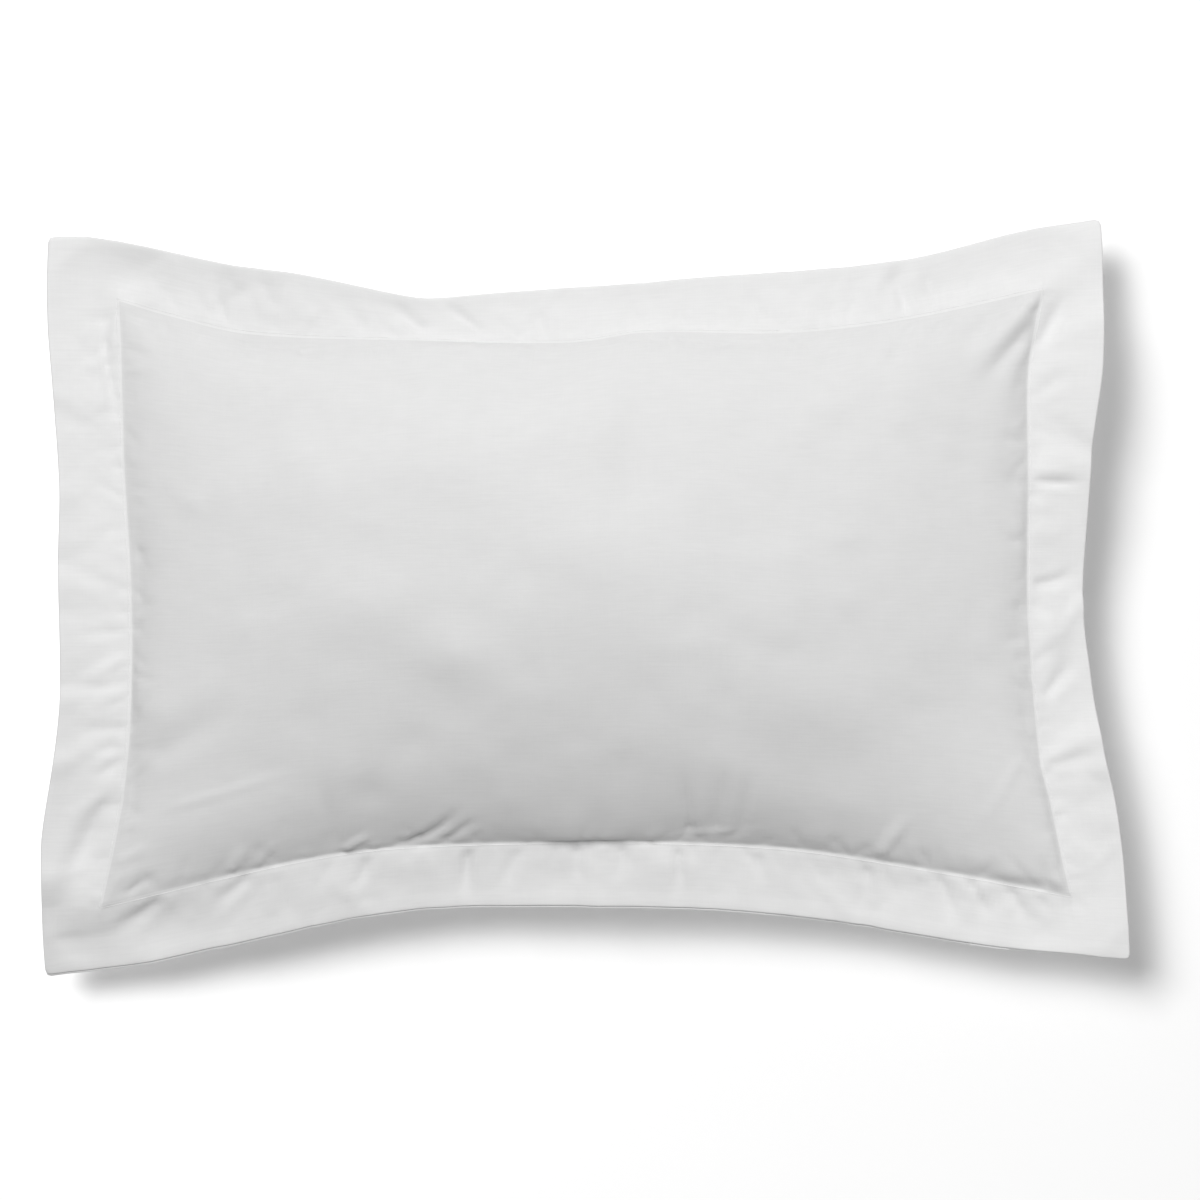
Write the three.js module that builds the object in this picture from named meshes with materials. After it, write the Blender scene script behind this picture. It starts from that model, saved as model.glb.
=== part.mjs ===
// A bed pillow lying on a flat surface: a plump fibre-filled insert inside an Oxford pillowcase.
// The case's front and back run on past the sewn body as a flat border, the flange. Its back is
// two overlapping panels, so that the insert can be slipped in through the slit between them.
//
// Millimetres. +X runs along the long side, +Y across it and +Z up. The origin is on the resting
// face, below the middle of the object's box. The +Y side is called far and the -Y side near.
//
// Every layer of cloth is a pair of height fields over one shared grid. The grid is laid out in
// flat coordinates, those of the cloth as it was cut, and plan() draws it in to where the filled
// pillow holds it. Layers that share the grid keep their order everywhere and never cross.
import * as THREE from "three";

// ---- Driving dimensions ----

const BODY_LENGTH = 740; // seam to seam along X, measured flat
const BODY_WIDTH = 480; // seam to seam along Y, measured flat
const FLANGE = 50; // border outside the seam, on all four sides
const PILLOW_HEIGHT = 155; // resting face to crown
const SEAM_HEIGHT = 68; // height of the seam at the middle of a side
const CORNER_DROOP = 20; // how much lower the flange's tips lie than the sides near them
const UNDERSIDE_DEPTH = 95; // depth of the underside below the seam, if nothing flattened it
const CROWN_POWER = 0.85; // a rounded top whose sides lean at about 40 degrees near the seam

const CLOTH = 0.8; // one layer of cloth, thickened so that it is a sound solid
const HEM = 2; // the turned hems along the slit: three layers of cloth
const LAYER_GAP = 1.4; // between layers that lie on each other, with room for a seam's thread
const THREAD_RADIUS = 0.3;
const THREAD_SIDES = 4; // sides of a thread's section
const THREAD_CLEARANCE = 0.4; // from a thread to the cloth it lies on
const TOPSTITCH_OFFSET = 2.5; // the visible stitching runs this far outside the seam
const EDGE_SEAM_INSET = 8; // the hidden seam that joins front and back at the flange's edge

const INSERT_EASE = 16; // the insert's own seam lies this far inside the case's seam
const INSERT_CROWN_EASE = 4; // and its crown this far below the case's
const FILL_EDGE = 1.2; // thickness of the fill where the ticking closes on it
const PIPING_RADIUS = 1.8;
const PIPING_SIDES = 8;
const PIPING_OFFSET = 3; // centre of the piping outside the insert's seam
const LABEL_THICKNESS = 0.5;

const SLIT_INSET = 48; // the back panel's free edge lies this far inside the right-hand seam
const BACK_HEM_WIDTH = 35;
const FLAP_HEM_WIDTH = 30;
const HEM_STEP = 1.5; // the width over which a hem's edge drops to one layer
const STITCH_INSET = 2.5; // a hem's stitching runs this far inside its folded edge

// Plan positions of the corners once the fill has drawn the case in.
const FLANGE_CORNERS = {
  farLeft: [-416, 280],
  farRight: [402, 295],
  nearRight: [422, -280],
  nearLeft: [-422, -295],
};
const SEAM_CORNERS = {
  farLeft: [-360, 229],
  farRight: [353, 237],
  nearRight: [375, -229],
  nearLeft: [-373, -237],
};

// How far each side is drawn in from the straight line between its corners: the share of the way
// along it, from the near or left end, and the depth there. The far edge has a kink, not a bow.
const FLANGE_DRAWS = {
  near: [
    [0, 0], [0.09, 8], [0.16, 20], [0.31, 45], [0.42, 50],
    [0.61, 45], [0.72, 34], [0.87, 12], [1, 0],
  ],
  far: [
    [0, 0], [0.04, 2], [0.16, 24], [0.23, 33], [0.35, 53],
    [0.43, 50], [0.62, 41], [0.81, 30], [0.93, 8], [1, 0],
  ],
  left: [
    [0, 0], [0.12, 0], [0.18, 1], [0.29, 11], [0.38, 16],
    [0.55, 14], [0.66, 14], [0.78, 8], [0.9, 1], [1, 0],
  ],
  right: [
    [0, 0], [0.11, 2], [0.22, 8], [0.27, 14], [0.38, 22],
    [0.49, 26], [0.6, 21], [0.71, 15], [0.82, 5], [1, 0],
  ],
};
const SEAM_DRAWS = {
  near: [
    [0, 0], [0.06, 10], [0.2, 32], [0.3, 42], [0.49, 45],
    [0.61, 43], [0.72, 37], [0.85, 21], [1, 0],
  ],
  far: [
    [0, 0], [0.06, 12], [0.14, 25], [0.32, 32], [0.49, 35],
    [0.57, 29], [0.73, 29], [0.85, 20], [1, 0],
  ],
  left: [[0, 0], [0.1, 8], [0.18, 13], [0.3, 17], [0.5, 16], [0.76, 6], [1, 0]],
  right: [[0, 0], [0.15, 11], [0.22, 17], [0.4, 22], [0.49, 22], [0.69, 17], [0.88, 11], [1, 0]],
};

// How much lower the flange's edge lies than the seam, along each side, in the same way.
const EDGE_DROPS = {
  near: [[0, 12], [0.5, 9], [1, -2]],
  far: [[0, -4], [0.5, 5], [1, 7]],
  left: [[0, 0], [0.5, -8], [1, -7]],
  right: [[0, -6], [0.5, 5], [1, -1]],
};

// ---- The shared grid ----

const HALF_BODY_X = BODY_LENGTH / 2;
const HALF_BODY_Y = BODY_WIDTH / 2;
const HALF_INSERT_X = HALF_BODY_X - INSERT_EASE;
const HALF_INSERT_Y = HALF_BODY_Y - INSERT_EASE;

// Grid lines lie closer together near the seam, where the crown is steepest.
const LINE_FRACTIONS = [0, 0.22, 0.42, 0.6, 0.75, 0.87];

const BACK_EDGE_X = HALF_BODY_X - SLIT_INSET;
const BACK_HEM_X = BACK_EDGE_X - BACK_HEM_WIDTH;
const BACK_STITCH_X = BACK_HEM_X + STITCH_INSET;
const FLAP_EDGE_X = LINE_FRACTIONS[2] * HALF_BODY_X;
const FLAP_HEM_X = FLAP_EDGE_X + FLAP_HEM_WIDTH;
const FLAP_STITCH_X = FLAP_HEM_X - STITCH_INSET;
const FLAP_RAMP_X = LINE_FRACTIONS[1] * HALF_BODY_X; // where the layers above start to rise over it

const HEM_LINES = [
  BACK_EDGE_X,
  BACK_HEM_X - HEM_STEP,
  BACK_HEM_X,
  BACK_STITCH_X,
  FLAP_STITCH_X,
  FLAP_HEM_X,
  FLAP_HEM_X + HEM_STEP,
];

function gridLines(halfBody, extra) {
  const inside = LINE_FRACTIONS.map((fraction) => fraction * halfBody);
  const edge = halfBody + FLANGE;
  const steps = [...inside, halfBody - INSERT_EASE, halfBody, edge - EDGE_SEAM_INSET, edge];
  const lines = [...steps.flatMap((step) => [-step, step]), ...extra];
  return [...new Set(lines)].sort((a, b) => a - b);
}

const X_LINES = gridLines(HALF_BODY_X, HEM_LINES);
const Y_LINES = gridLines(HALF_BODY_Y, []);

// ---- From flat cloth to plan ----

const { lerp, clamp, mapLinear } = THREE.MathUtils;

// The height at t of a smooth curve through points in order, by cubic Hermite spans whose slope at
// each inner point is that of the line between its neighbours.
function smoothThrough(points, t) {
  const at = clamp(t, points[0][0], points.at(-1)[0]);
  const next = Math.max(1, points.findIndex(([x]) => x >= at));
  const slope = (i) => {
    const before = points[Math.max(0, i - 1)];
    const after = points[Math.min(points.length - 1, i + 1)];
    return (after[1] - before[1]) / (after[0] - before[0]);
  };
  const [[x0, y0], [x1, y1]] = [points[next - 1], points[next]];
  const span = x1 - x0;
  const u = (at - x0) / span;
  const rise = u * u * (3 - 2 * u);
  return (
    lerp(y0, y1, rise)
    + span * slope(next - 1) * u * (1 - u) ** 2
    - span * slope(next) * u * u * (1 - u)
  );
}

// One side of an outline: the line between its two corners, drawn towards the middle.
function drawnSide(first, last, draws, inward, t) {
  return lerp(first, last, t) + inward * smoothThrough(draws, t);
}

// The X of an outline's left and right sides where the cloth's flat Y is y.
function sideXs(corners, draws, halfWidth, y) {
  const t = mapLinear(y, -halfWidth, halfWidth, 0, 1);
  return [
    drawnSide(corners.nearLeft[0], corners.farLeft[0], draws.left, 1, t),
    drawnSide(corners.nearRight[0], corners.farRight[0], draws.right, -1, t),
  ];
}

// The Y of an outline's near and far sides where the cloth's flat X is x.
function sideYs(corners, draws, halfLength, x) {
  const t = mapLinear(x, -halfLength, halfLength, 0, 1);
  return [
    drawnSide(corners.nearLeft[1], corners.nearRight[1], draws.near, 1, t),
    drawnSide(corners.farLeft[1], corners.farRight[1], draws.far, -1, t),
  ];
}

// A flat coordinate goes between the two seams if it is on the body, and otherwise between the
// seam and the edge of the flange on its own side.
function drawIn(flat, half, seams, edges) {
  if (flat < -half) return mapLinear(flat, -half - FLANGE, -half, edges[0], seams[0]);
  if (flat > half) return mapLinear(flat, half, half + FLANGE, seams[1], edges[1]);
  return mapLinear(flat, -half, half, seams[0], seams[1]);
}

function plan(x, y) {
  const seamXs = sideXs(SEAM_CORNERS, SEAM_DRAWS, HALF_BODY_Y, y);
  const edgeXs = sideXs(FLANGE_CORNERS, FLANGE_DRAWS, HALF_BODY_Y + FLANGE, y);
  const seamYs = sideYs(SEAM_CORNERS, SEAM_DRAWS, HALF_BODY_X, x);
  const edgeYs = sideYs(FLANGE_CORNERS, FLANGE_DRAWS, HALF_BODY_X + FLANGE, x);
  return [drawIn(x, HALF_BODY_X, seamXs, edgeXs), drawIn(y, HALF_BODY_Y, seamYs, edgeYs)];
}

// ---- Heights ----

// How far the flange has fallen outside one pair of seams: `across` is the flat coordinate that
// crosses them and `along` the one that runs along them.
function lowered(across, halfAcross, along, halfAlong, [lowDrops, highDrops]) {
  const past = Math.max(0, Math.abs(across) - halfAcross) / FLANGE;
  const drops = across < 0 ? lowDrops : highDrops;
  const beside = clamp(along, -halfAlong, halfAlong);
  const outer = halfAlong + FLANGE;
  return past * smoothThrough(drops, mapLinear(beside, -outer, outer, 0, 1));
}

// The sheet midway between front and back: level on the body, then following the flange's edge,
// and lower again towards its tips.
function middle(x, y) {
  const alongX = (x / (HALF_BODY_X + FLANGE)) ** 2;
  const alongY = (y / (HALF_BODY_Y + FLANGE)) ** 2;
  const { near, far, left, right } = EDGE_DROPS;
  const fallX = lowered(x, HALF_BODY_X, y, HALF_BODY_Y, [left, right]);
  const fallY = lowered(y, HALF_BODY_Y, x, HALF_BODY_X, [near, far]);
  return SEAM_HEIGHT - CORNER_DROOP * alongX * alongY - fallX - fallY;
}

// How far a filled bag has swollen: 1 at its middle, 0 at its seam and outside it.
function crown(x, y, halfX, halfY) {
  const acrossX = Math.max(0, 1 - (x / halfX) ** 2);
  const acrossY = Math.max(0, 1 - (y / halfY) ** 2);
  return (acrossX * acrossY) ** CROWN_POWER;
}

const caseCrown = (x, y) => crown(x, y, HALF_BODY_X, HALF_BODY_Y);
const insertCrown = (x, y) => crown(x, y, HALF_INSERT_X, HALF_INSERT_Y);

const FRONT_RISE = PILLOW_HEIGHT - SEAM_HEIGHT - LAYER_GAP / 2 - CLOTH;
const INSERT_SEAM_HALF = FILL_EDGE / 2 + THREAD_CLEARANCE;

const frontInner = (x, y) => middle(x, y) + LAYER_GAP / 2 + FRONT_RISE * caseCrown(x, y);
const frontOuter = (x, y) => frontInner(x, y) + CLOTH;

// The back's inner face before the surface flattens the underside.
const backFree = (x, y) => middle(x, y) - LAYER_GAP / 2 - UNDERSIDE_DEPTH * caseCrown(x, y);

const backThickness = (x) => (x >= BACK_HEM_X ? HEM : CLOTH);
const flapThickness = (x) => (x <= FLAP_HEM_X ? HEM : CLOTH);

// What the flap and its clearance add to the stack of back layers: nothing left of the flap.
function flapStack(x) {
  const rise = clamp(mapLinear(x, FLAP_RAMP_X, FLAP_EDGE_X, 0, 1), 0, 1);
  return rise * (flapThickness(x) + LAYER_GAP);
}

const backOuter = (x, y) => Math.max(0, backFree(x, y) - flapStack(x) - backThickness(x));
const backInner = (x, y) => backOuter(x, y) + backThickness(x);
const flapOuter = (x, y) => backInner(x, y) + LAYER_GAP;
const flapInner = (x, y) => flapOuter(x, y) + flapThickness(x);

const tickingTopInner = (x, y) =>
  middle(x, y) + INSERT_SEAM_HALF + (FRONT_RISE - INSERT_CROWN_EASE) * insertCrown(x, y);
const tickingTopOuter = (x, y) => tickingTopInner(x, y) + CLOTH;

function tickingBottomOuter(x, y) {
  const free = middle(x, y) - INSERT_SEAM_HALF - CLOTH - UNDERSIDE_DEPTH * insertCrown(x, y);
  return Math.max(free, backInner(x, y) + flapStack(x) + LAYER_GAP);
}
const tickingBottomInner = (x, y) => tickingBottomOuter(x, y) + CLOTH;

// ---- Geometry ----

function solidFrom(positions, index) {
  const geometry = new THREE.BufferGeometry();
  geometry.setAttribute("position", new THREE.Float32BufferAttribute(positions, 3));
  geometry.setIndex(index);
  geometry.computeVertexNormals();
  return geometry;
}

// The closed solid between two height fields, over the cells whose middle `covers` accepts.
function layer(covers, lower, upper) {
  const rows = Y_LINES.length;
  const positions = [];
  for (const x of X_LINES) {
    for (const y of Y_LINES) {
      const [px, py] = plan(x, y);
      positions.push(px, py, lower(x, y), px, py, upper(x, y));
    }
  }
  const below = ([i, j]) => 2 * (i * rows + j);
  const above = (node) => below(node) + 1;
  const index = [];
  const quad = (a, b, c, d) => index.push(a, b, c, a, c, d);
  const midway = (lines, i) => (lines[i] + lines[i + 1]) / 2;
  const kept = (i, j) =>
    i in X_LINES && i + 1 in X_LINES && j in Y_LINES && j + 1 in Y_LINES
    && covers(midway(X_LINES, i), midway(Y_LINES, j));

  for (let i = 0; i + 1 < X_LINES.length; i += 1) {
    for (let j = 0; j + 1 < rows; j += 1) {
      if (!kept(i, j)) continue;
      const ring = [[i, j], [i + 1, j], [i + 1, j + 1], [i, j + 1]];
      const beyond = [[i, j - 1], [i + 1, j], [i, j + 1], [i - 1, j]];
      quad(...ring.map(above));
      quad(...[ring[0], ring[3], ring[2], ring[1]].map(below));
      ring.forEach((from, side) => {
        const to = ring[(side + 1) % ring.length];
        if (!kept(...beyond[side])) quad(below(from), below(to), above(to), above(from));
      });
    }
  }
  return solidFrom(positions, index);
}

// A thread or cord swept along flat points. Each point's `out` is the flat direction, to the
// right of the way the points run, in which its section is laid out.
function swept(points, radius, sides, height, closed) {
  const positions = [];
  for (const { x, y, out } of points) {
    for (let k = 0; k < sides; k += 1) {
      const angle = (2 * Math.PI * k) / sides;
      const across = radius * Math.cos(angle);
      const [px, py] = plan(x + out[0] * across, y + out[1] * across);
      positions.push(px, py, height(x, y) + radius * Math.sin(angle));
    }
  }
  const index = [];
  const spans = closed ? points.length : points.length - 1;
  for (let i = 0; i < spans; i += 1) {
    const here = i * sides;
    const next = ((i + 1) % points.length) * sides;
    for (let k = 0; k < sides; k += 1) {
      const k1 = (k + 1) % sides;
      index.push(here + k, next + k, next + k1, here + k, next + k1, here + k1);
    }
  }
  if (!closed) {
    const last = (points.length - 1) * sides;
    for (let k = 1; k + 1 < sides; k += 1) {
      index.push(0, k, k + 1, last, last + k + 1, last + k);
    }
  }
  return solidFrom(positions, index);
}

// The points of a rectangle in flat coordinates, counter-clockwise from above, with mitred
// corners and a point at every grid line that it crosses.
function rectangle(halfX, halfY) {
  const xs = X_LINES.filter((x) => Math.abs(x) < halfX);
  const ys = Y_LINES.filter((y) => Math.abs(y) < halfY);
  const corner = (sx, sy) => ({ x: sx * halfX, y: sy * halfY, out: [sx, sy] });
  return [
    corner(-1, -1),
    ...xs.map((x) => ({ x, y: -halfY, out: [0, -1] })),
    corner(1, -1),
    ...ys.map((y) => ({ x: halfX, y, out: [1, 0] })),
    corner(1, 1),
    ...xs.toReversed().map((x) => ({ x, y: halfY, out: [0, 1] })),
    corner(-1, 1),
    ...ys.toReversed().map((y) => ({ x: -halfX, y, out: [-1, 0] })),
  ];
}

// A line of stitching across the body at one flat X.
function hemLine(x) {
  return Y_LINES.filter((y) => Math.abs(y) < HALF_BODY_Y).map((y) => ({ x, y, out: [1, 0] }));
}

// ---- Materials ----

function textile(color, roughness) {
  return new THREE.MeshStandardMaterial({ color, roughness, metalness: 0 });
}

const CASE_COTTON = textile(0xf1f1f0, 0.85);
const SEWING_THREAD = textile(0xf6f6f4, 0.55);
const TICKING = textile(0xefefec, 0.8);
const PIPING = textile(0xf7f7f5, 0.7);
const FIBRE = textile(0xfafafa, 0.95);
const LABEL = textile(0xe9e9e7, 0.6);

// ---- The pieces ----

function piece(name, geometry, material) {
  const mesh = new THREE.Mesh(geometry, material);
  mesh.name = name;
  return mesh;
}

const everywhere = () => true;
const onInsert = (x, y) => Math.abs(x) < HALF_INSERT_X && Math.abs(y) < HALF_INSERT_Y;

function casePanels() {
  return [
    piece("case_front_panel", layer(everywhere, frontInner, frontOuter), CASE_COTTON),
    piece("case_back_panel", layer((x) => x < BACK_EDGE_X, backOuter, backInner), CASE_COTTON),
    piece("case_closure_flap", layer((x) => x > FLAP_EDGE_X, flapOuter, flapInner), CASE_COTTON),
  ];
}

function sewnLoop(name, halfX, halfY, height) {
  const points = rectangle(halfX, halfY);
  return piece(name, swept(points, THREAD_RADIUS, THREAD_SIDES, height, true), SEWING_THREAD);
}

function sewnHem(name, x, cloth) {
  const height = (px, py) => cloth(px, py) + THREAD_CLEARANCE + THREAD_RADIUS;
  return piece(name, swept(hemLine(x), THREAD_RADIUS, THREAD_SIDES, height, false), SEWING_THREAD);
}

function caseThreads() {
  const lift = THREAD_CLEARANCE + THREAD_RADIUS;
  const underside = (x, y) => (x > BACK_EDGE_X ? flapOuter(x, y) : backOuter(x, y)) - lift;
  const seam = [HALF_BODY_X + TOPSTITCH_OFFSET, HALF_BODY_Y + TOPSTITCH_OFFSET];
  const edge = [HALF_BODY_X + FLANGE - EDGE_SEAM_INSET, HALF_BODY_Y + FLANGE - EDGE_SEAM_INSET];
  return [
    sewnLoop("flange_topstitch_thread", ...seam, (x, y) => frontOuter(x, y) + lift),
    sewnLoop("flange_bobbin_thread", ...seam, underside),
    sewnLoop("edge_seam_thread", ...edge, middle),
    sewnHem("back_panel_hem_thread", BACK_STITCH_X, backInner),
    sewnHem("closure_flap_hem_thread", FLAP_STITCH_X, flapInner),
  ];
}

// A blank sewn-in label: the grid cells from its seam inwards, midway between two layers.
function label(name, covers, under, over) {
  const centre = (x, y) => (under(x, y) + over(x, y)) / 2;
  const lower = (x, y) => centre(x, y) - LABEL_THICKNESS / 2;
  const upper = (x, y) => centre(x, y) + LABEL_THICKNESS / 2;
  return piece(name, layer(covers, lower, upper), LABEL);
}

function labels() {
  const besideMiddle = (y) => y > 0 && y < LINE_FRACTIONS[1] * HALF_BODY_Y;
  const underCaseLabel = (x, y) => (Math.abs(x) <= HALF_INSERT_X ? tickingTopOuter : flapInner)(x, y);
  return [
    label(
      "case_care_label",
      (x, y) => x > BACK_EDGE_X && x < HALF_BODY_X && besideMiddle(y),
      underCaseLabel,
      frontInner,
    ),
    label(
      "insert_care_label",
      (x, y) => x < -BACK_EDGE_X && x > -HALF_INSERT_X && besideMiddle(y),
      backInner,
      tickingBottomOuter,
    ),
  ];
}

function insert() {
  const rim = [HALF_INSERT_X + PIPING_OFFSET, HALF_INSERT_Y + PIPING_OFFSET];
  const piping = swept(rectangle(...rim), PIPING_RADIUS, PIPING_SIDES, middle, true);
  const clearTop = (x, y) => tickingTopInner(x, y) - THREAD_CLEARANCE;
  const clearBottom = (x, y) => tickingBottomInner(x, y) + THREAD_CLEARANCE;
  return [
    piece("insert_top_ticking", layer(onInsert, tickingTopInner, tickingTopOuter), TICKING),
    piece("insert_bottom_ticking", layer(onInsert, tickingBottomOuter, tickingBottomInner), TICKING),
    piece("insert_piping", piping, PIPING),
    piece("fibre_fill", layer(onInsert, clearBottom, clearTop), FIBRE),
  ];
}

const pillow = new THREE.Group();
pillow.add(...casePanels(), ...caseThreads(), ...labels(), ...insert());

export default pillow;
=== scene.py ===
# A bed pillow in a white Oxford pillowcase, lying on a pale floor and seen from straight above.
#
# The case is simulated as it is sewn: two flat cuts of cloth joined along the seam rectangle, with
# the flange running on outside it. The filled shape holds the cloth up, and what the cloth has too
# much of becomes its soft waves. The puckers that the sewing draws into it are then raised along the
# seams. Every piece is cut from those surfaces, on grids whose coordinates are those of the flat
# cloth. Lengths are in metres, except in the lists of folds and outline depths, in millimetres.
import math
import bpy
import numpy as np
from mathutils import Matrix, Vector


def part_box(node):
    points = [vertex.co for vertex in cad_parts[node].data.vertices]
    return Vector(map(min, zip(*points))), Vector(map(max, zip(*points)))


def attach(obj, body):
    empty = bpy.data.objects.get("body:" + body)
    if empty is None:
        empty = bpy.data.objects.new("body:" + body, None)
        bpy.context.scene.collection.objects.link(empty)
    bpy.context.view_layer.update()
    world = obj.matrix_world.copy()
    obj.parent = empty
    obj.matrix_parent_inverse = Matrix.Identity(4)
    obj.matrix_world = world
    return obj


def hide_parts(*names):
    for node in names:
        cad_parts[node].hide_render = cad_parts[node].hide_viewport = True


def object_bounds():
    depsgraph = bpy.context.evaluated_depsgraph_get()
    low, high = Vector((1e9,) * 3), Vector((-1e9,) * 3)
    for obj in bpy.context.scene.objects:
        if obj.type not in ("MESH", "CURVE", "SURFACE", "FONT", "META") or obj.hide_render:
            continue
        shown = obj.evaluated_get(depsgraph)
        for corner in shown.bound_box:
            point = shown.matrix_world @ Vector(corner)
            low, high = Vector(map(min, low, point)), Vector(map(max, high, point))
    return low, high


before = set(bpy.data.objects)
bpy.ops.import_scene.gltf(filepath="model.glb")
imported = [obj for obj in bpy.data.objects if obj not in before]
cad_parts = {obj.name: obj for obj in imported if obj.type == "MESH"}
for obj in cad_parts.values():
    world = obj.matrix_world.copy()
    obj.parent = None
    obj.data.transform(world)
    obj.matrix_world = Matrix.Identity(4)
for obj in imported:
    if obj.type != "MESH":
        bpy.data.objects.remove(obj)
CAD_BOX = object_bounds()
MM = 0.001

# ---- Driving sizes, as in the CAD model ----

HALF_X, HALF_Y = 0.370, 0.240  # half the sewn body, seam to seam, measured flat
FLANGE = 0.050
EDGE_X, EDGE_Y = HALF_X + FLANGE, HALF_Y + FLANGE
BACK_EDGE_X = HALF_X - 0.048  # the back panel's free edge
BACK_HEM = 0.035
FLAP_EDGE_X = 0.42 * HALF_X  # the closure flap's free edge, inside the case
FLAP_HEM = 0.030
HEM_STITCH_INSET = 0.0025
STITCH_OFFSET = 0.0025  # the visible stitching lies this far outside the seam
EDGE_SEAM_INSET = 0.008
INSERT_EASE = 0.016
SEAM_Z = 0.068
CORNER_DROOP = 0.020
UNDER_DEPTH = 0.095
CROWN_POWER = 0.85

CASE_LOW, CASE_HIGH = (Vector(c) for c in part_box("case_front_panel"))
TOP_Z = CAD_BOX[1][2]

CLOTH = 0.0003  # thickness of percale
REST_Z = 0.0002  # the underside's cloth on the floor


def smooth(share):
    s = np.clip(share, 0, 1)
    return s * s * (3 - 2 * s)


# ---- The outline that the filled case is drawn in to ----

# Corner insets from the case's box, left or right and near or far, at the flange and at the seam.
EDGE_CORNERS = dict(nl=(0, 0), fl=(0.006, 0.015), fr=(0.020, 0), nr=(0, 0.015))
SEAM_CORNERS = dict(nl=(0.049, 0.058), fl=(0.062, 0.066), fr=(0.069, 0.058), nr=(0.047, 0.066))

# How far each side is drawn in from the straight line between its corners: the share of the way
# along it, from the near or left end, and the depth there in millimetres.
EDGE_DRAWS = dict(
    near=[(0, 0), (0.09, 8), (0.16, 20), (0.31, 45), (0.42, 50), (0.61, 45), (0.72, 34), (0.87, 12), (1, 0)],
    far=[(0, 0), (0.04, 2), (0.16, 24), (0.23, 33), (0.33, 51), (0.355, 53.5), (0.43, 50),
         (0.62, 41), (0.81, 30), (0.93, 8), (1, 0)],
    left=[(0, 0), (0.12, 0), (0.18, 1), (0.29, 11), (0.38, 16), (0.55, 14), (0.66, 14), (0.78, 8),
          (0.9, 1), (1, 0)],
    right=[(0, 0), (0.11, 2), (0.22, 8), (0.27, 14), (0.38, 22), (0.49, 26), (0.6, 21), (0.71, 15),
           (0.82, 5), (1, 0)],
)
SEAM_DRAWS = dict(
    near=[(0, 0), (0.06, 10), (0.2, 32), (0.3, 42), (0.49, 45), (0.61, 43), (0.72, 37), (0.85, 21), (1, 0)],
    far=[(0, 0), (0.06, 12), (0.14, 25), (0.32, 32), (0.49, 35), (0.57, 29), (0.73, 29), (0.85, 20), (1, 0)],
    left=[(0, 0), (0.1, 8), (0.18, 13), (0.3, 17), (0.5, 16), (0.76, 6), (1, 0)],
    right=[(0, 0), (0.15, 11), (0.22, 17), (0.4, 22), (0.49, 22), (0.69, 17), (0.88, 11), (1, 0)],
)


# How much lower the flange's edge lies than the seam, along each side, in the same way.
EDGE_DROPS = dict(
    near=[(0, 12), (0.25, 12), (0.5, 10), (0.75, 7), (0.9, -1), (1, -8)],
    far=[(0, -5), (0.2, -3), (0.35, 3), (0.5, 8), (1, 8)],
    left=[(0, 4), (0.2, -4), (0.5, -9), (0.8, -9), (1, -7)],
    right=[(0, -8), (0.12, -4), (0.25, 0), (0.5, 12), (0.68, 0), (0.85, -6), (1, 0)],
)
FLANGE_DIP = 1.5  # its sag between seam and edge


def corner_points(insets):
    out = {}
    for name, (dx, dy) in insets.items():
        x = CASE_LOW.x + dx if name[1] == "l" else CASE_HIGH.x - dx
        y = CASE_LOW.y + dy if name[0] == "n" else CASE_HIGH.y - dy
        out[name] = (x, y)
    return out


def smooth_through(points, t):
    """The height at t of a smooth curve through points, by cubic Hermite spans."""
    xs, ys = np.array(points, float).T
    padded_x = np.concatenate([xs[:1], xs, xs[-1:]])
    padded_y = np.concatenate([ys[:1], ys, ys[-1:]])
    slope = (padded_y[2:] - padded_y[:-2]) / (padded_x[2:] - padded_x[:-2])
    t = np.clip(t, xs[0], xs[-1])
    i = np.clip(np.searchsorted(xs, t, side="right") - 1, 0, len(xs) - 2)
    span = xs[i + 1] - xs[i]
    u = (t - xs[i]) / span
    line = ys[i] + (ys[i + 1] - ys[i]) * smooth(u)
    return line + span * (slope[i] * u * (1 - u) ** 2 - slope[i + 1] * u * u * (1 - u))


def drawn_side(first, last, draws, inward, t):
    return first + (last - first) * t + inward * MM * smooth_through(draws, t)


def side_positions(corners, draws, x, y, half_x, half_y):
    """X of the left and right sides at flat y, and Y of the near and far sides at flat x."""
    t = (y + half_y) / (2 * half_y)
    left = drawn_side(corners["nl"][0], corners["fl"][0], draws["left"], 1, t)
    right = drawn_side(corners["nr"][0], corners["fr"][0], draws["right"], -1, t)
    t = (x + half_x) / (2 * half_x)
    near = drawn_side(corners["nl"][1], corners["nr"][1], draws["near"], 1, t)
    far = drawn_side(corners["fl"][1], corners["fr"][1], draws["far"], -1, t)
    return (left, right), (near, far)


def draw_in(flat, half, seams, edges):
    below = edges[0] + (seams[0] - edges[0]) * (flat + half + FLANGE) / FLANGE
    above = seams[1] + (edges[1] - seams[1]) * (flat - half) / FLANGE
    inside = seams[0] + (seams[1] - seams[0]) * (flat + half) / (2 * half)
    return np.where(flat < -half, below, np.where(flat > half, above, inside))


EDGE, SEAM = corner_points(EDGE_CORNERS), corner_points(SEAM_CORNERS)


def plan(x, y):
    """Where a point of the flat cloth lies in plan once the fill has drawn the case in."""
    seam_x, seam_y = side_positions(SEAM, SEAM_DRAWS, x, y, HALF_X, HALF_Y)
    edge_x, edge_y = side_positions(EDGE, EDGE_DRAWS, x, y, EDGE_X, EDGE_Y)
    return draw_in(x, HALF_X, seam_x, edge_x), draw_in(y, HALF_Y, seam_y, edge_y)


# ---- The guide: the filled shape that holds the cloth up ----

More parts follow.
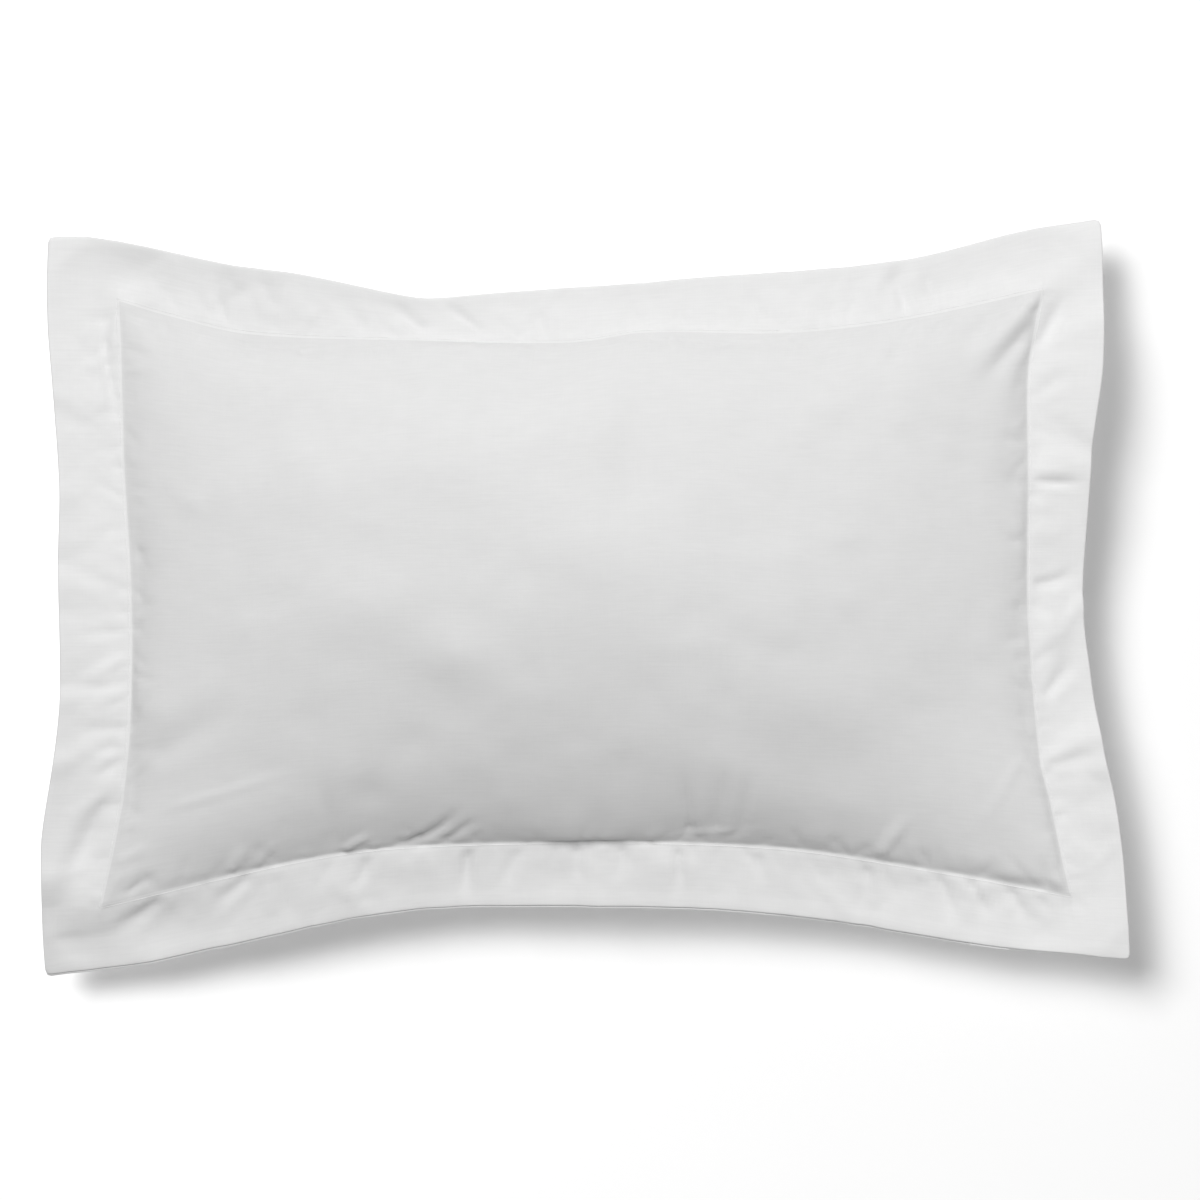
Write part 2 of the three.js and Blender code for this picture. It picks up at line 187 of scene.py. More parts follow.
FRONT_RISE = TOP_Z - SEAM_Z - 0.001
FRONT_WRAP, BACK_WRAP = 0.086, 0.080  # the rise that sets how the cloth's length is shared out
BODY_PLAN = (0.94 * HALF_X, 0.81 * HALF_Y)  # half the drawn-in body's length and width


def crown(share):
    """The rise of a swollen section, from 1 at its middle to 0 at its seam."""
    return (1 - share**2) ** CROWN_POWER


def arc_table(ratios, steps=200):
    """Position across a section that rises to r, by the share of its half's length."""
    places = np.sin(np.linspace(0, np.pi / 2, 2001))
    shares = np.linspace(0, 1, steps + 1)
    table = []
    for r in ratios:
        ds = np.hypot(np.diff(places), r * np.diff(crown(places)))
        length = np.concatenate([[0], np.cumsum(ds)])
        table.append(np.interp(shares, length / length[-1], places))
    return np.array(table)


RATIOS = np.linspace(0, 0.7, 36)
ARCS = arc_table(RATIOS)


def bilinear(table, i, j):
    """A table read between its rows and columns."""
    i0 = np.clip(i.astype(int), 0, table.shape[0] - 2)
    j0 = np.clip(j.astype(int), 0, table.shape[1] - 2)
    f, g = i - i0, j - j0
    if table.ndim > 2:
        f, g = f[..., None], g[..., None]
    low = table[i0, j0] * (1 - g) + table[i0, j0 + 1] * g
    high = table[i0 + 1, j0] * (1 - g) + table[i0 + 1, j0 + 1] * g
    return low * (1 - f) + high * f


def along_arc(share, ratio):
    row = np.clip(ratio, 0, RATIOS[-1]) / RATIOS[1]
    return np.sign(share) * bilinear(ARCS, row, np.abs(share) * (ARCS.shape[1] - 1))


def lowered(x, y):
    """How far the flange has fallen outside the seam."""
    past_x = np.clip((np.abs(x) - HALF_X) / FLANGE, 0, 1)
    past_y = np.clip((np.abs(y) - HALF_Y) / FLANGE, 0, 1)
    along_x, along_y = (x + EDGE_X) / (2 * EDGE_X), (y + EDGE_Y) / (2 * EDGE_Y)
    left, right = (smooth_through(EDGE_DROPS[side], along_y) for side in ("left", "right"))
    near, far = (smooth_through(EDGE_DROPS[side], along_x) for side in ("near", "far"))
    past = np.hypot(past_x, past_y)
    share = past_x**2 / np.maximum(past**2, 1e-9)
    drop = np.where(x < 0, left, right) * share + np.where(y < 0, near, far) * (1 - share)
    inner = np.minimum(past, 1)
    return MM * (drop * past + FLANGE_DIP * 4 * inner * (1 - inner))


def middle_z(x, y):
    return SEAM_Z - CORNER_DROOP * (x / EDGE_X) ** 2 * (y / EDGE_Y) ** 2 - lowered(x, y)


def guide_surface(x, y, rise, wrap):
    """Flat cloth wrapped over the swollen body, keeping its length along both axes."""
    a, b = np.clip(x / HALF_X, -1, 1), np.clip(y / HALF_Y, -1, 1)
    along, across = a, b
    for _ in range(3):
        ratio_x, ratio_y = wrap * crown(across) / BODY_PLAN[0], wrap * crown(along) / BODY_PLAN[1]
        along, across = along_arc(a, ratio_x), along_arc(b, ratio_y)
    flat_x = np.where(np.abs(x) < HALF_X, along * HALF_X, x)
    flat_y = np.where(np.abs(y) < HALF_Y, across * HALF_Y, y)
    on_body = (np.abs(x) < HALF_X) & (np.abs(y) < HALF_Y)
    px, py = plan(flat_x, flat_y)
    swell = crown(along) * crown(across) * on_body
    return np.stack([px, py, middle_z(flat_x, flat_y) + rise * swell], -1)


# ---- The simulation ----

CELL_X, CELL_Y, CELL_F = 112, 74, 8  # cells over the body's length and width, and the flange
SEAM_I, SEAM_J = (CELL_F, CELL_F + CELL_X), (CELL_F, CELL_F + CELL_Y)
BODY_IJ = np.s_[SEAM_I[0] : SEAM_I[1] + 1, SEAM_J[0] : SEAM_J[1] + 1]
INNER_IJ = np.s_[SEAM_I[0] + 1 : SEAM_I[1], SEAM_J[0] + 1 : SEAM_J[1]]
HOLD_SEAM, HOLD_FRONT, HOLD_FLANGE, HOLD_BACK = 0.30, 0.10, 0.10, 0.30
SIM_FRAMES = 22


def even_lines(half, cells):
    body = np.linspace(-half, half, cells + 1)
    border = np.linspace(0, FLANGE, CELL_F + 1)[1:]
    return np.concatenate([-half - border[::-1], body, half + border])


SIM_X, SIM_Y = even_lines(HALF_X, CELL_X), even_lines(HALF_Y, CELL_Y)
SX, SY = np.meshgrid(SIM_X, SIM_Y, indexing="ij")


def quad_ids(ids, flipped):
    a, b, c, d = ids[:-1, :-1], ids[1:, :-1], ids[1:, 1:], ids[:-1, 1:]
    order = (a, d, c, b) if flipped else (a, b, c, d)
    return np.stack(order, -1).reshape(-1, 4)


def guides():
    front = guide_surface(SX, SY, FRONT_RISE, FRONT_WRAP)
    back = guide_surface(SX, SY, -UNDER_DEPTH, BACK_WRAP)
    back[..., 2] = np.maximum(back[..., 2], REST_Z)
    return front, back


def set_cotton(modifier, cut_key):
    cloth = modifier.settings
    cloth.quality = 6
    cloth.mass = 0.15
    cloth.tension_stiffness = cloth.compression_stiffness = 40
    cloth.shear_stiffness = 10
    cloth.bending_stiffness = 0.05
    cloth.tension_damping = cloth.compression_damping = cloth.shear_damping = 10
    cloth.bending_damping = 0.5
    cloth.air_damping = 2
    cloth.rest_shape_key = cut_key
    cloth.use_pressure = True
    cloth.uniform_pressure_force = 4
    cloth.vertex_group_pressure = "pressed"
    cloth.vertex_group_mass = "held"
    cloth.pin_stiffness = 0.25
    cloth.effector_weights.gravity = 0
    modifier.collision_settings.use_collision = False
    modifier.point_cache.frame_start = 1
    modifier.point_cache.frame_end = SIM_FRAMES


def simulate():
    """The front with the flange, and the back, as grids of points settled by Blender's Cloth."""
    front, back = guides()
    inner, body = np.zeros(SX.shape, bool), np.zeros(SX.shape, bool)
    inner[INNER_IJ] = body[BODY_IJ] = True
    front_count, inner_count = SX.size, int(inner.sum())
    top_id = np.arange(front_count).reshape(SX.shape)
    under_id = top_id.copy()
    under_id[inner] = front_count + np.arange(inner_count)
    quads = np.concatenate([quad_ids(top_id, False), quad_ids(under_id[BODY_IJ], True)])
    cut = np.stack([SX, SY, np.full(SX.shape, SEAM_Z)], -1)
    mesh = bpy.data.meshes.new("sewn_case")
    points = np.concatenate([front.reshape(-1, 3), back[inner]])
    mesh.from_pydata(points.tolist(), [], quads.tolist())
    bag = bpy.data.objects.new("sewn_case", mesh)
    bpy.context.collection.objects.link(bag)
    bag.shape_key_add(name="Basis")
    cut_key = bag.shape_key_add(name="cut")
    cut_key.data.foreach_set("co", np.concatenate([cut.reshape(-1, 3), cut[inner]]).ravel())
    pressed = bag.vertex_groups.new(name="pressed")
    under_ids = range(front_count, front_count + inner_count)
    pressed.add([*top_id[body].tolist(), *under_ids], 1, "REPLACE")
    held = bag.vertex_groups.new(name="held")
    held.add(top_id[body & ~inner].tolist(), HOLD_SEAM, "REPLACE")
    held.add(top_id[inner].tolist(), HOLD_FRONT, "REPLACE")
    held.add(top_id[~body].tolist(), HOLD_FLANGE, "REPLACE")
    held.add(list(under_ids), HOLD_BACK, "REPLACE")
    set_cotton(bag.modifiers.new("Cloth", "CLOTH"), cut_key)
    bpy.context.scene.frame_start, bpy.context.scene.frame_end = 1, SIM_FRAMES
    for number in range(1, SIM_FRAMES + 1):
        bpy.context.scene.frame_set(number)
    settled = bag.evaluated_get(bpy.context.evaluated_depsgraph_get())
    result = np.empty(len(points) * 3)
    settled.data.vertices.foreach_get("co", result)
    result = result.reshape(-1, 3)
    bpy.context.scene.frame_set(1)
    bpy.data.objects.remove(bag)
    bpy.data.meshes.remove(mesh)
    front = result[:front_count].reshape(*SX.shape, 3)
    back = front.copy()
    back[inner] = result[front_count:]
    return fitted(front, back)


# ---- Fitting the simulated cloth back to the guide, in its broad shape only ----

FIT_CELLS = 6
UNDER_BLEND = 0.06  # the back's own fit takes over this far in from the seam


def averaged(grid, cells):
    """A grid with its detail below some cells' width taken out, by repeated averaging."""
    out = grid.copy()
    for axis in (0, 1):
        for _ in range(3):
            pad = [(0, 0)] * out.ndim
            pad[axis] = (cells + 1, cells)
            wide = np.pad(out, pad, mode="reflect", reflect_type="odd")
            total = np.cumsum(wide, axis=axis)
            size = out.shape[axis]
            high = np.take(total, range(2 * cells + 1, 2 * cells + 1 + size), axis=axis)
            low = np.take(total, range(0, size), axis=axis)
            out = (high - low) / (2 * cells + 1)
    return out


def fitted(front, back):
    want_front, want_back = guides()
    move_front = averaged(want_front - front, FIT_CELLS)
    move_back = move_front.copy()
    own = averaged((want_back - back)[BODY_IJ], FIT_CELLS)
    depth = np.minimum(HALF_X - np.abs(SX[BODY_IJ]), HALF_Y - np.abs(SY[BODY_IJ]))
    share = smooth(depth / UNDER_BLEND)[..., None]
    move_back[BODY_IJ] = own * share + move_front[BODY_IJ] * (1 - share)
    return front + move_front, back + move_back


# ---- The fine grid ----

BODY_CELLS_X, BODY_CELLS_Y = 222, 148
# Lines over the flange, from the seam out: close together at the stitching and at the turned edge.
BORDER = np.concatenate([[0.0012, 0.0025, 0.004], np.linspace(0.007, 0.0455, 14), [0.0475, 0.049, 0.05]])


def fine_lines(half, cells):
    body = np.linspace(-half, half, cells + 1)
    return np.concatenate([-half - BORDER[::-1], body, half + BORDER])


GX, GY = fine_lines(HALF_X, BODY_CELLS_X), fine_lines(HALF_Y, BODY_CELLS_Y)
FX, FY = np.meshgrid(GX, GY, indexing="ij")
CUT_I = (len(BORDER), len(BORDER) + BODY_CELLS_X)
CUT_J = (len(BORDER), len(BORDER) + BODY_CELLS_Y)


def read_between(values, places):
    """Values along the first axis read at fractional places, by a Catmull-Rom curve."""
    padded = np.concatenate([2 * values[:1] - values[1:2], values, 2 * values[-1:] - values[-2:-1]])
    i = np.clip(places.astype(int), 0, len(values) - 2)
    t = (places - i).reshape(-1, 1, 1)
    p0, p1, p2, p3 = (padded[i + k] for k in range(4))
    cubic = (3 * (p1 - p2) + p3 - p0) * t + (2 * p0 - 5 * p1 + 4 * p2 - p3)
    return p1 + 0.5 * t * ((p2 - p0) + t * cubic)


def finer_along(values, old_cuts, new_lines, new_cuts, half):
    """The first axis moved from the simulation's lines to the fine ones, creased at the seams."""
    ends = [0, *old_cuts, len(values) - 1]
    new_ends = [0, *new_cuts, len(new_lines) - 1]
    starts = [-half - FLANGE, -half, half, half + FLANGE]
    parts = []
    for k in range(3):
        span = values[ends[k] : ends[k + 1] + 1]
        lines = new_lines[new_ends[k] : new_ends[k + 1] + (k == 2)]
        places = (lines - starts[k]) / (starts[k + 1] - starts[k]) * (len(span) - 1)
        parts.append(read_between(span, places))
    return np.concatenate(parts)


def finer(grid):
    out = finer_along(grid, SEAM_I, GX, CUT_I, HALF_X)
    return finer_along(out.swapaxes(0, 1), SEAM_J, GY, CUT_J, HALF_Y).swapaxes(0, 1)


EASING_PASSES, EASING_REACH, EASING_START = 40, 0.022, 0.006


def eased_corners(grid):
    """Softens the crease where each seam's line runs on over the flange, past the seam's end."""
    past_x, past_y = np.abs(FX) - HALF_X, np.abs(FY) - HALF_Y
    for axis, lines, crossed, beyond in ((0, GX, past_x, past_y), (1, GY, past_y, past_x)):
        share = smooth(beyond / EASING_START) * smooth(2 - 2 * np.abs(crossed) / EASING_REACH)
        moved = np.moveaxis(grid, axis, 0)
        share = np.moveaxis(share, axis, 0)[1:-1, :, None]
        place = ((lines[1:-1] - lines[:-2]) / (lines[2:] - lines[:-2]))[:, None, None]
        for _ in range(EASING_PASSES):
            between = moved[:-2] * (1 - place) + moved[2:] * place
            moved[1:-1] += 0.5 * share * (between - moved[1:-1])
    return grid


def slopes(grid, lines, cuts, axis):
    """Derivative along an axis, taken on one side only at the seams."""
    out = np.empty_like(grid)
    ends = [0, *cuts, len(lines) - 1]
    for first, last in zip(ends[:-1], ends[1:]):
        cut = (slice(None),) * axis + (slice(first, last + 1),)
        out[cut] = np.gradient(grid[cut], lines[first : last + 1], axis=axis)
    return out


def normals(grid):
    n = np.cross(slopes(grid, GX, CUT_I, 0), slopes(grid, GY, CUT_J, 1))
    return n / np.maximum(np.linalg.norm(n, axis=-1, keepdims=True), 1e-12)


def at(grid, x, y):
    """A fine grid read at flat coordinates."""
    places = [np.interp(v, lines, np.arange(len(lines))) for v, lines in ((x, GX), (y, GY))]
    return bilinear(grid, *places)


# ---- Folds ----

# Each fold: its start, usually at the seam, an optional point that it bends towards, its end, then
# its height (below 0 for a valley) and its width. Flat coordinates, all in millimetres.
FAR_FLANGE_FOLDS = [
    ((-281, 244), (-297, 262), (-294, 289), -2.1, 4.5), ((-171, 245), (-197, 286), -1.6, 7),
    ((-122, 248), (-158, 288), -2.6, 7), ((-140, 246), (-150, 264), 1.9, 5),
    ((-76, 247), (-114, 288), -2.9, 4), ((-49, 243), (-69, 270), -1.8, 3.5),
    ((-28, 244), (-40, 287), -1.9, 4), ((59, 244), (25, 285), -1.4, 5),
    ((83, 243), (82, 272), -1.3, 4), ((147, 248), (131, 286), -1.9, 5.5),
    ((202, 243), (200, 268), -1.6, 4.5), ((218, 249), (225, 288), -1.4, 5),
    ((264, 242), (252, 288), -3.5, 5.5), ((240, 246), (236, 284), 2.1, 6),
    ((284, 252), (278, 287), -1.9, 4), ((309, 246), (323, 272), -1.3, 5),
]
LEFT_FLANGE_FOLDS = [
    ((-375, 144), (-386, 205), (-384, 256), -2.9, 4.5), ((-373, 232), (-376, 190), 1.9, 3.5),
    ((-372, -22), (-415, -25), -1.0, 3.5), ((-371, -65), (-416, -68), -1.0, 4),
    ((-372, -99), (-411, -100), -0.8, 4), ((-373, -122), (-394, -142), -1.6, 5),
    ((-371, -146), (-398, -190), (-406, -262), -4.6, 8), ((-377, -152), (-388, -196), 1.9, 4),
    ((-374, 60), (-410, 52), -0.6, 5), ((-373, 20), (-405, 28), 0.6, 4),
]
NEAR_FLANGE_FOLDS = [
    ((-322, -246), (-366, -264), -2.1, 5), ((-256, -244), (-290, -263), -2.4, 5),
    ((-171, -242), (-165, -262), (-182, -270), -1.9, 4.5), ((-90, -243), (-94, -287), -3.2, 4.5),
    ((-52, -244), (-66, -283), -1.8, 5), ((-8, -242), (-5, -282), -1.6, 4.5),
    ((27, -244), (24, -274), -1.3, 4), ((70, -243), (71, -282), -3.2, 4),
    ((132, -245), (133, -270), -1.4, 4), ((216, -243), (211, -283), -1.8, 4.5),
    ((269, -242), (283, -282), -2.1, 5), ((292, -242), (308, -272), -2.4, 4),
    ((324, -243), (336, -270), -2.4, 4), ((344, -244), (356, -262), -1.9, 4),
]
RIGHT_FLANGE_FOLDS = [
    ((372, 88), (419, 86), -2.6, 3), ((372, 97), (417, 96), 1.3, 3.5),
    ((377, 196), (398, 250), -2.2, 6), ((379, 158), (400, 180), -1.4, 5),
    ((379, -84), (411, -50), -2.4, 5), ((374, 8), (396, 4), (419, 20), -2.6, 4.5),
    ((372, -139), (417, -127), -1.8, 5), ((374, 52), (402, 40), 1.1, 6),
]
BODY_FOLDS = [
    ((369, 238), (312, 178), 4.2, 8), ((368, 216), (318, 160), -2.1, 7), ((345, 238), (300, 200), -1.6, 7),
    ((265, 237), (247, 176), -1.8, 6), ((169, 238), (203, 208), (212, 174), -1.4, 6),
    ((-191, -236), (-204, -146), -1.8, 6), ((-187, -237), (-162, -217), 2.6, 4),
    ((-148, -239), (-104, -224), (-95, -184), -3.5, 5), ((-110, -237), (-82, -202), -2.6, 4.5),
    ((-272, -238), (-264, -207), 1.9, 4.5), ((-354, -237), (-330, -221), -2.1, 4.5),
    ((78, -238), (73, -138), -2.1, 5), ((96, -236), (108, -136), -1.8, 6),
    ((114, -236), (130, -131), -1.6, 5),
    ((164, -238), (160, -210), -1.4, 4), ((221, -236), (250, -182), 2.7, 4.5),
    ((207, -239), (216, -219), -1.4, 4), ((261, -238), (257, -216), -1.4, 4),
    ((355, -239), (351, -208), -2.1, 4.5), ((-338, -170), (-202, -143), 0.8, 4),
    ((350, -128), (301, -196), 0.8, 4), ((-348, -130), (-262, -77), -2.2, 13),
    ((-371, -22), (-354, -18), -1.1, 4), ((-369, -102), (-354, -89), -1.3, 4),
    ((369, -23), (353, -5), -1.3, 5), ((370, -72), (357, -45), -1.3, 5),
    ((-270, 238), (-262, 214), -1.3, 4),
    ((-232, 238), (-214, 216), -1.3, 4), ((60, -232), (150, -212), 0.8, 4),
]
FOLD_STEPS = 8
SHOULDER = 0.45  # how strongly the cloth rises beside a valley
FOLD_REACH = 4  # a fold is left out beyond this many widths


def fold_line(points):
    """A fold's points as one smooth line."""
    start, end = np.array(points[0], float), np.array(points[-1], float)
    bend = np.array(points[1], float) if len(points) == 3 else (start + end) / 2
    t = np.linspace(0, 1, FOLD_STEPS + 1)[:, None]
    return MM * ((1 - t) ** 2 * start + 2 * t * (1 - t) * bend + t * t * end)


def add_fold(heights, fold):
    """Raises one fold on a grid of heights over the flat cloth. It widens and fades along its way."""
    *points, height, width = fold
    line, height, width = fold_line(points), height * MM, width * MM
    reach = FOLD_REACH * width
    low, high = line.min(0) - reach, line.max(0) + reach
    i = slice(*np.searchsorted(GX, (low[0], high[0])))
    j = slice(*np.searchsorted(GY, (low[1], high[1])))
    here = np.stack([FX[i, j], FY[i, j]], -1)[None]
    if here.size == 0:
        return
    start, step = line[:-1, None, None], np.diff(line, axis=0)[:, None, None]
    share = np.clip(((here - start) * step).sum(-1) / (step**2).sum(-1), 0, 1)
    gap = np.linalg.norm(here - start - step * share[..., None], axis=-1)
    nearest = gap.argmin(0)[None]
    along = (np.take_along_axis(share, nearest, 0)[0] + nearest[0]) / FOLD_STEPS
    across = np.take_along_axis(gap, nearest, 0)[0] / (width * (0.7 + 0.6 * along))
    fade = smooth(along / 0.2) * (1 - smooth((along - 0.45) / 0.55))
    profile = (1 - SHOULDER * across**2) * np.exp(-(across**2) / 2)
    heights[i, j] += height * fade * profile


def seam_puckers(rng, side, outward, count, longest, height):
    """Small random puckers that start along one side of the seam and run away from it."""
    half_along, half_out = (HALF_X, HALF_Y) if side in ("near", "far") else (HALF_Y, HALF_X)
    sign = 1 if side in ("far", "right") else -1
    places = (np.arange(count) + rng.uniform(0.1, 0.9, count)) / count * 2 - 1
    folds = []
    for place in places:
        length = rng.uniform(0.35, 1) * longest
        lean = rng.normal(0, 0.45) * length
        start = place * half_along / MM
        out = sign * half_out / MM
        tip = out + sign * outward * length
        points = [(start, out + sign * outward), (start + lean, tip)]
        if side in ("left", "right"):
            points = [(b, a) for a, b in points]
        size = rng.choice((-1, -1, 1)) * rng.uniform(0.35, 1) * height
        folds.append((*points, size, rng.uniform(3, 4.5)))
    return folds


def soft_lumps(rng, count, spread, height):
    """Random low swellings of a grid, over the whole sheet."""
    out = np.zeros(FX.shape)
    for _ in range(count):
        x, y = rng.uniform(-EDGE_X, EDGE_X), rng.uniform(-EDGE_Y, EDGE_Y)
        reach_x, reach_y = rng.uniform(0.6, 1.4, 2) * spread
        bump = np.exp(-(((FX - x) / reach_x) ** 2) - ((FY - y) / reach_y) ** 2)
        out += rng.normal(0, height) * bump
    return out


SIDES = dict(near=40, far=40, left=22, right=22)  # random puckers along each side
# The longest and the highest of the random puckers, in millimetres.
FLANGE_PUCKERS, FRONT_PUCKERS, BACK_PUCKERS = (34, 1.1), (40, 1.2), (60, 1.1)


def with_puckers(folds, seed, outward, size):
    """The given folds, and random puckers along all four sides."""
    rng = np.random.default_rng(seed)
    folds = list(folds)
    for side, count in SIDES.items():
        folds += seam_puckers(rng, side, outward, count, *size)
    return folds


def flange_folds():
    own = FAR_FLANGE_FOLDS + LEFT_FLANGE_FOLDS + NEAR_FLANGE_FOLDS + RIGHT_FLANGE_FOLDS
    return with_puckers(own, 11, 1, FLANGE_PUCKERS)


def front_folds():
    return with_puckers(BODY_FOLDS, 23, -1, FRONT_PUCKERS)


def back_folds():
    return with_puckers([], 37, -1, BACK_PUCKERS)


def heights_of(folds):
    heights = np.zeros(FX.shape)
    for fold in folds:
        add_fold(heights, fold)
    return heights


# ---- The case's two surfaces ----

CORNER_ROUNDING = 0.0045
CORNER_PULL = 0.3  # how far a corner draws back, as a share of its rounding
# Random swellings: how many over the sheet, how wide, and how high.
LUMPS, UNDER_LUMPS = (90, 0.045, 0.0030), (60, 0.045, 0.0030)
DENTS, FLANGE_WAVES = (400, 0.016, 0.0006), (260, 0.022, 0.0016)
BODY_FADE, WAVE_FADE = 0.012, 0.02  # how far from the seam they reach their full height


def raised(grid, heights):
    return grid + normals(grid) * heights[..., None]


def rounded_corners(grid):
    """The turned-out corners of the flange, slightly rounded."""
    near_x = np.clip(1 - (EDGE_X - np.abs(FX)) / CORNER_ROUNDING, 0, 1)
    near_y = np.clip(1 - (EDGE_Y - np.abs(FY)) / CORNER_ROUNDING, 0, 1)
    shift = CORNER_PULL * CORNER_ROUNDING * near_x * near_y
    grid[..., 0] -= np.sign(FX) * shift
    grid[..., 1] -= np.sign(FY) * shift
    return grid


def case_surfaces():
    """The front's and the back's surfaces. They are one and the same over the flange."""
    front, back = (eased_corners(finer(grid)) for grid in simulate())
    inside = np.minimum(HALF_X - np.abs(FX), HALF_Y - np.abs(FY))
    on_body = smooth(inside / BODY_FADE)
    outside = smooth(-inside / WAVE_FADE)
    rng = np.random.default_rng(5)
    lumps = soft_lumps(rng, *LUMPS) + soft_lumps(rng, *DENTS)
    waves = soft_lumps(rng, *FLANGE_WAVES) * outside
    flange = heights_of(flange_folds()) * smooth((0.004 - inside) / 0.006) + waves
    creased = heights_of(front_folds()) * smooth((inside + 0.002) / 0.006)
    front = raised(front, lumps * on_body + creased + flange)
    under = soft_lumps(rng, *UNDER_LUMPS) * on_body
    creased = heights_of(back_folds()) * smooth((inside + 0.002) / 0.006)
    back = raised(back, flange * (inside <= 0) - (under + creased) * (inside > 0))
    back[inside <= 0] = front[inside <= 0]
    return rounded_corners(front), rounded_corners(back)


FRONT, BACK = case_surfaces()
FRONT_NORMAL, BACK_NORMAL = normals(FRONT), normals(BACK)
EDGE_DEPTH = np.minimum(EDGE_X - np.abs(FX), EDGE_Y - np.abs(FY))
SEAM_DEPTH = np.minimum(HALF_X - np.abs(FX), HALF_Y - np.abs(FY))


# Half the gap in millimetres, by the distance in from the turned edge.
EDGE_GAP = [(0, 0.16), (0.001, 0.5), (0.0025, 0.65), (0.008, 0.65), (0.011, 0.3)]
# What is added to it, by the distance out from the seam.
SEAM_GAP = [(0, 0), (0.0012, 0), (0.0025, -0.14), (0.004, 0.1), (0.008, 0)]


def half_gap():
    """Half the distance between front and back. They meet at the turned edge and at the stitching,
    and the seam allowances between them make the flange thicker along its edge."""
    at_edge = np.interp(EDGE_DEPTH, *zip(*EDGE_GAP))
    at_seam = np.interp(-SEAM_DEPTH, *zip(*SEAM_GAP))
    return MM * (at_edge + at_seam)


HALF_GAP = half_gap()[..., None]
STACK = 0.00055  # one more layer of cloth, and its clearance
EDGE_PEEK = 0.0014  # the back's edge rolls out from under the front's along the near side
PEEK_REACH = 0.012
SLIT_GAPE = 0.0022  # how far the back panel hangs open at its free edge
GAPE_REACH = 0.05
FLAP_REACH = 0.02  # the back panel steps down over this length


def layers():
    """Surfaces of the front, the closure flap and the back, in their order through the stack."""
    front = FRONT + HALF_GAP * FRONT_NORMAL
    over_flap = smooth((FX - FLAP_EDGE_X + FLAP_REACH) / FLAP_REACH)[..., None]
    flap = BACK - HALF_GAP * BACK_NORMAL
    back = BACK - (HALF_GAP + STACK * over_flap) * BACK_NORMAL
    gape = smooth((FX - BACK_EDGE_X + GAPE_REACH) / GAPE_REACH) * smooth(SEAM_DEPTH / GAPE_REACH)
    back -= (SLIT_GAPE * gape)[..., None] * BACK_NORMAL
    back[..., 1] -= EDGE_PEEK * smooth(-(FY + EDGE_Y - PEEK_REACH) / PEEK_REACH)
    back[..., 2] = np.maximum(back[..., 2], REST_Z)
    inside = (SEAM_DEPTH > 0) & (FX < BACK_EDGE_X)
    flap[..., 2] = np.where(inside, np.maximum(flap[..., 2], back[..., 2] + STACK), flap[..., 2])
    flap[..., 2] = np.maximum(flap[..., 2], REST_Z)
    return front, flap, back


FRONT_LAYER, FLAP_LAYER, BACK_LAYER = layers()

# ---- Meshes ----


def new_object(name, vertices, faces, material, nodes, flat=None):
    """A piece made of the given faces, which rides on the one body and stands for its CAD nodes."""
    mesh = bpy.data.meshes.new(name)
    faces = [tuple(map(int, face)) for face in faces]
    mesh.from_pydata(np.asarray(vertices).tolist(), [], faces)
    if flat is not None:
        layer = mesh.uv_layers.new(name="flat")
        layer.data.foreach_set("uv", flat[np.ravel(faces)].ravel())
    mesh.shade_smooth()
    mesh.materials.append(material)
    piece = bpy.data.objects.new(name, mesh)
    bpy.context.collection.objects.link(piece)
    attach(piece, "root")
    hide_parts(*nodes)
    return piece


def cloth_piece(name, block, flat, facing_down, material, node):
    """A sheet of cloth over a block of grid points, with its flat coordinates as its UVs."""
    ids = np.arange(block.shape[0] * block.shape[1]).reshape(block.shape[:2])
    faces = quad_ids(ids, facing_down)
    piece = new_object(name, block.reshape(-1, 3), faces, material, [node], flat.reshape(-1, 2))
    solid = piece.modifiers.new("Thickness", "SOLIDIFY")
    solid.thickness = CLOTH
    solid.offset = 0
    return piece


HEM_OFFSET = 1.5  # in thicknesses of cloth


def hemmed(layer, first, last, hem, inward):
    """A block of a layer from one grid line to another, then turned back inwards by the hem."""
    step = 1 if last > first else -1
    index = np.arange(first, last + step, step)
    turned = index[::-1][np.abs(GX[index[::-1]] - GX[last]) <= hem]
    flat = np.stack([FX, FY], -1)
    folded_flat = flat[turned].copy()
    folded_flat[..., 0] = 2 * GX[last] - folded_flat[..., 0]
    folded = layer[turned] + inward[turned] * HEM_OFFSET * CLOTH
    block = np.concatenate([layer[index], folded])
    flat = np.concatenate([flat[index], folded_flat])
    return (block, flat) if step > 0 else (block[::-1], flat[::-1])


STITCH_PITCH = 0.0028
THREAD = 0.00022  # a thread's radius
THREAD_SIDES = 6
# Through one stitch: the share of its length, and the thread's height over the cloth in its radii.
STITCH_SHAPE = [(0.0, -1.6), (0.07, 0.1), (0.2, 0.8), (0.38, 1.0), (0.62, 1.0), (0.8, 0.8), (0.93, 0.1)]


def stitch_places(corners, closed):
    """Flat points along a line of stitching, the height of each over the cloth, and the stitches'
    own way along, so that each side of the line has whole stitches."""
    places, heights = [], []
    ends = [*corners, corners[0]] if closed else corners
    for (x0, y0), (x1, y1) in zip(ends[:-1], ends[1:]):
        count = max(1, round(math.hypot(x1 - x0, y1 - y0) / STITCH_PITCH))
        for number in range(count):
            for share, height in STITCH_SHAPE:
                t = (number + share) / count
                places.append((x0 + (x1 - x0) * t, y0 + (y1 - y0) * t))
                heights.append(height * THREAD)
    return np.array(places), np.array(heights)


